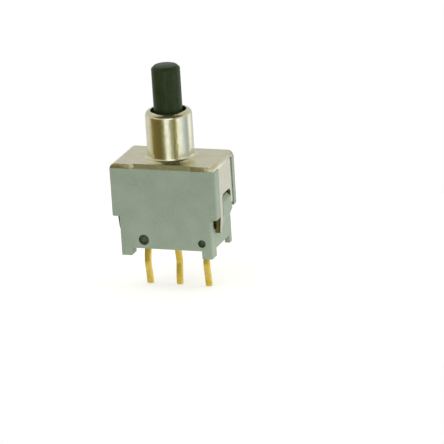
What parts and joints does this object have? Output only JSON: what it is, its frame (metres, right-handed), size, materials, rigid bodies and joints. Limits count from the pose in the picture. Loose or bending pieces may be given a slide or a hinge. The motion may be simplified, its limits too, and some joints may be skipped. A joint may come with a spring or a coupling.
{
  "type": "pushbutton switch",
  "caption": "Small upright momentary pushbutton for circuit boards: round plunger in a drawn metal bushing, plate-topped plastic case, kinked gold pins.",
  "frame": {"origin": "where the plunger's axis meets the board, in the plane under the four feet", "axes": "+Z along the plunger, out of the board; X along the row of terminals; -Y is the front face"},
  "size_m": [0.009, 0.005, 0.0187],
  "materials": {
    "case_plastic": "grey-green moulded thermoplastic with a fine matte skin",
    "frame_metal": "drawn sheet metal with a warm nickel plate",
    "terminal_gold": "gold-plated stamped strip",
    "plunger_plastic": "near-black moulded plastic with a soft sheen",
    "rubber": "black seal rubber",
    "resin": "dark cast epoxy resin",
    "slider_plastic": "natural-coloured slippery plastic",
    "contact_bronze": "gold-plated spring bronze",
    "spring_steel": "stainless spring wire"
  },
  "bodies": {
    "body": {"case": "case_plastic", "frame": "frame_metal", "case_gasket": "rubber", "terminal_seal": "resin", "terminal_1": "terminal_gold", "terminal_common": "terminal_gold", "terminal_3": "terminal_gold", "return_spring": "spring_steel"},
    "button": {"plunger": "plunger_plastic", "o_ring": "rubber", "slider": "slider_plastic", "moving_contact": "contact_bronze"}
  },
  "joints": [
    {"name": "press", "type": "slide", "parent": "body", "child": "button", "axis": [0, 0, -1], "range_m": [0, 0.0014], "stiffness_N_per_m": 800, "deforming": ["return_spring"]}
  ]
}
